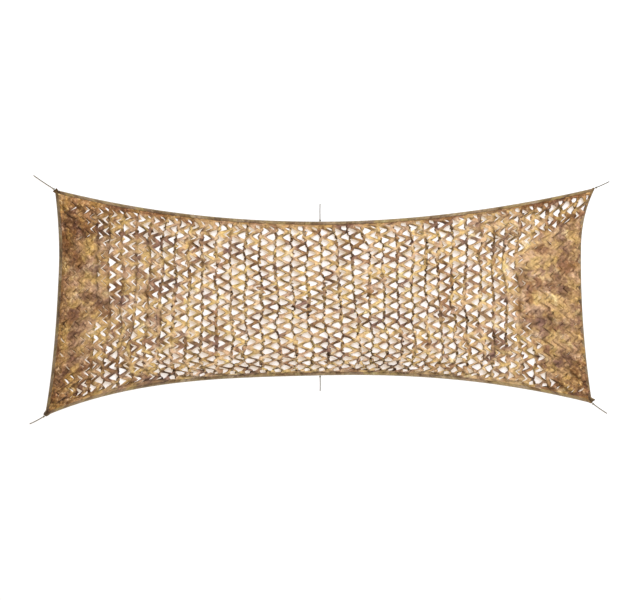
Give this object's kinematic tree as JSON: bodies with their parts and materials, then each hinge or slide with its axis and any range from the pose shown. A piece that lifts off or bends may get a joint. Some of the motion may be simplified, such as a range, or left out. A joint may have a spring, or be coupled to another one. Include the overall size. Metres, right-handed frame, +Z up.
{
  "type": "camouflage net with tie cords",
  "caption": "Open camouflage netting, slit so that it stretches into a mesh, bound along its edges and opened out flat with a tie cord at each corner and at the middle of each long side.",
  "frame": {"origin": "on the ground, under the middle of the net's bounding box without its tie cords", "axes": "+X along the net's length, +Y across its width, +Z up from the ground it lies on"},
  "size_m": [5.281, 2.2684, 0.0373],
  "materials": {
    "camouflage_cloth": "matt woven cloth printed with soft sand, brown and dark brown patches",
    "edge_binding": "matt folded tape of the same printed cloth, sewn down, darker than the net",
    "tie_cord": "matt braided cord, dark olive tan"
  },
  "bodies": {
    "root": {"net_panel": "camouflage_cloth", "binding_top": "edge_binding", "binding_bottom": "edge_binding", "binding_left": "edge_binding", "binding_right": "edge_binding", "tie_top_left": "tie_cord", "tie_top_middle": "tie_cord", "tie_top_right": "tie_cord", "tie_bottom_left": "tie_cord", "tie_bottom_middle": "tie_cord", "tie_bottom_right": "tie_cord", "hitch_top_left": "tie_cord", "hitch_top_middle": "tie_cord", "hitch_top_right": "tie_cord", "hitch_bottom_left": "tie_cord", "hitch_bottom_middle": "tie_cord", "hitch_bottom_right": "tie_cord"}
  },
  "joints": []
}
